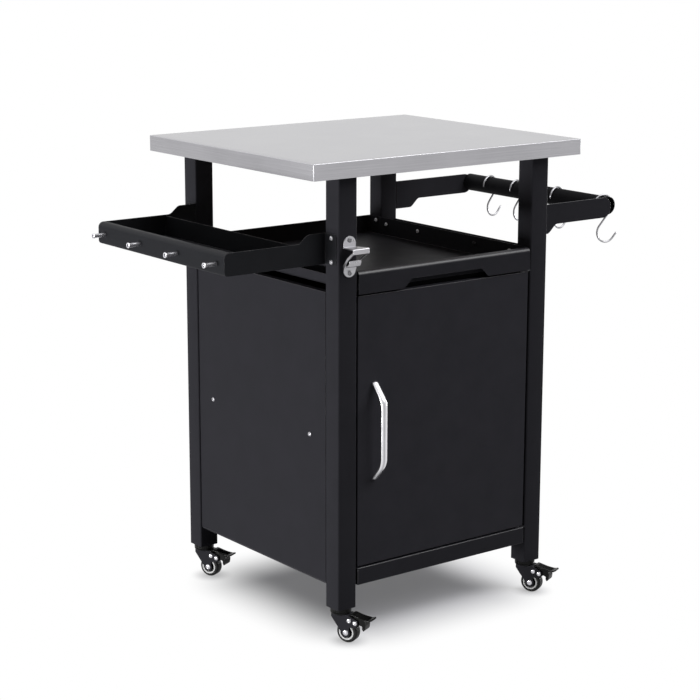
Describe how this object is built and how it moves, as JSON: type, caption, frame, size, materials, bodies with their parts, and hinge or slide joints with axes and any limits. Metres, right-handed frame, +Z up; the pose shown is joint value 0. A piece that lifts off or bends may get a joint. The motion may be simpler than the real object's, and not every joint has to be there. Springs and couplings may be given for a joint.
{
  "type": "grill cart with storage",
  "caption": "Steel grill cart with a stainless top, a tray, a cupboard with a hinged door, a side rack, a towel rail with hooks, and swivel casters.",
  "frame": {"origin": "on the floor, midway between the four posts", "axes": "+X right along the door, the door faces -Y, +Z up"},
  "size_m": [0.9472, 0.548, 0.867],
  "materials": {
    "stainless": "brushed",
    "bright_steel": "polished",
    "zinc_steel": "zinc plated",
    "black_steel": "fine textured powder coat",
    "board": "raw board",
    "tyre": "matt",
    "hub": "matt grey",
    "black_plastic": "matt"
  },
  "bodies": {
    "frame": {"back_panel": "black_steel", "bottle_opener": "bright_steel", "bottom_panel": "black_steel", "caster_sockets": "black_plastic", "caster_stems": "black_plastic", "door_stop_rail": "black_steel", "frame_screws": "zinc_steel", "handle_arm_back": "black_steel", "handle_arm_front": "black_steel", "handle_bar": "black_steel", "hinge_bracket_bottom": "black_steel", "hinge_bracket_top": "black_steel", "inner_shelf": "black_steel", "magnet_catch": "black_plastic", "middle_tray": "black_steel", "opener_screws": "bright_steel", "post_back_left": "black_steel", "post_back_right": "black_steel", "post_front_left": "black_steel", "post_front_right": "black_steel", "rack_pegs": "bright_steel", "side_panel_left": "black_steel", "side_panel_right": "black_steel", "side_rail_left": "black_steel", "side_rail_right": "black_steel", "spice_rack": "black_steel", "tabletop_board": "board", "tabletop_screws": "zinc_steel", "tabletop_skin": "stainless"},
    "door": {"door_panel": "black_steel", "hinge_pins": "zinc_steel", "door_handle": "bright_steel", "handle_screws": "zinc_steel", "strike_plate": "zinc_steel"},
    "hook_1": {"s_hook_1": "bright_steel"},
    "hook_2": {"s_hook_2": "bright_steel"},
    "hook_3": {"s_hook_3": "bright_steel"},
    "hook_4": {"s_hook_4": "bright_steel"},
    "swivel_front_left": {"fork_front_left": "black_steel", "caster_pins_front_left": "zinc_steel"},
    "wheel_front_left": {"tyre_front_left": "tyre", "hub_front_left": "hub"},
    "brake_front_left": {"pedal_front_left": "black_plastic"},
    "swivel_front_right": {"fork_front_right": "black_steel", "caster_pins_front_right": "zinc_steel"},
    "wheel_front_right": {"tyre_front_right": "tyre", "hub_front_right": "hub"},
    "brake_front_right": {"pedal_front_right": "black_plastic"},
    "swivel_back_left": {"fork_back_left": "black_steel", "caster_pins_back_left": "zinc_steel"},
    "wheel_back_left": {"tyre_back_left": "tyre", "hub_back_left": "hub"},
    "brake_back_left": {"pedal_back_left": "black_plastic"},
    "swivel_back_right": {"fork_back_right": "black_steel", "caster_pins_back_right": "zinc_steel"},
    "wheel_back_right": {"tyre_back_right": "tyre", "hub_back_right": "hub"},
    "brake_back_right": {"pedal_back_right": "black_plastic"}
  },
  "joints": [
    {"name": "door_hinge", "type": "hinge", "parent": "frame", "child": "door", "pos_m": [0.1899, -0.2348, 0.383], "axis": [0, 0, 1], "range_deg": [0, 110]},
    {"name": "hook_swing_1", "type": "hinge", "parent": "frame", "child": "hook_1", "pos_m": [0.435, -0.189, 0.724], "axis": [0, -1, 0], "range_deg": [-25, 35]},
    {"name": "hook_swing_2", "type": "hinge", "parent": "frame", "child": "hook_2", "pos_m": [0.435, -0.0595, 0.724], "axis": [0, -1, 0], "range_deg": [-25, 35]},
    {"name": "hook_swing_3", "type": "hinge", "parent": "frame", "child": "hook_3", "pos_m": [0.435, 0.0595, 0.724], "axis": [0, -1, 0], "range_deg": [-25, 35]},
    {"name": "hook_swing_4", "type": "hinge", "parent": "frame", "child": "hook_4", "pos_m": [0.435, 0.14, 0.724], "axis": [0, -1, 0], "range_deg": [-25, 35]},
    {"name": "swivel_turn_front_left", "type": "hinge", "parent": "frame", "child": "swivel_front_left", "pos_m": [-0.221, -0.223, 0.05], "axis": [0, 0, 1], "continuous": true},
    {"name": "wheel_roll_front_left", "type": "hinge", "parent": "swivel_front_left", "child": "wheel_front_left", "pos_m": [-0.21424, -0.2375, 0.02], "axis": [0.9063, 0.4226, 0], "continuous": true},
    {"name": "brake_tip_front_left", "type": "hinge", "parent": "swivel_front_left", "child": "brake_front_left", "pos_m": [-0.20642, -0.25427, 0.0405], "axis": [0.9063, 0.4226, 0], "range_deg": [0, 14]},
    {"name": "swivel_turn_front_right", "type": "hinge", "parent": "frame", "child": "swivel_front_right", "pos_m": [0.221, -0.223, 0.05], "axis": [0, 0, 1], "continuous": true},
    {"name": "wheel_roll_front_right", "type": "hinge", "parent": "swivel_front_right", "child": "wheel_front_right", "pos_m": [0.22776, -0.2375, 0.02], "axis": [0.9063, 0.4226, 0], "continuous": true},
    {"name": "brake_tip_front_right", "type": "hinge", "parent": "swivel_front_right", "child": "brake_front_right", "pos_m": [0.23558, -0.25427, 0.0405], "axis": [0.9063, 0.4226, 0], "range_deg": [0, 14]},
    {"name": "swivel_turn_back_left", "type": "hinge", "parent": "frame", "child": "swivel_back_left", "pos_m": [-0.221, 0.223, 0.05], "axis": [0, 0, 1], "continuous": true},
    {"name": "wheel_roll_back_left", "type": "hinge", "parent": "swivel_back_left", "child": "wheel_back_left", "pos_m": [-0.21424, 0.2085, 0.02], "axis": [0.9063, 0.4226, 0], "continuous": true},
    {"name": "brake_tip_back_left", "type": "hinge", "parent": "swivel_back_left", "child": "brake_back_left", "pos_m": [-0.20642, 0.19173, 0.0405], "axis": [0.9063, 0.4226, 0], "range_deg": [0, 14]},
    {"name": "swivel_turn_back_right", "type": "hinge", "parent": "frame", "child": "swivel_back_right", "pos_m": [0.221, 0.223, 0.05], "axis": [0, 0, 1], "continuous": true},
    {"name": "wheel_roll_back_right", "type": "hinge", "parent": "swivel_back_right", "child": "wheel_back_right", "pos_m": [0.22776, 0.2085, 0.02], "axis": [0.9063, 0.4226, 0], "continuous": true},
    {"name": "brake_tip_back_right", "type": "hinge", "parent": "swivel_back_right", "child": "brake_back_right", "pos_m": [0.23558, 0.19173, 0.0405], "axis": [0.9063, 0.4226, 0], "range_deg": [0, 14]}
  ]
}
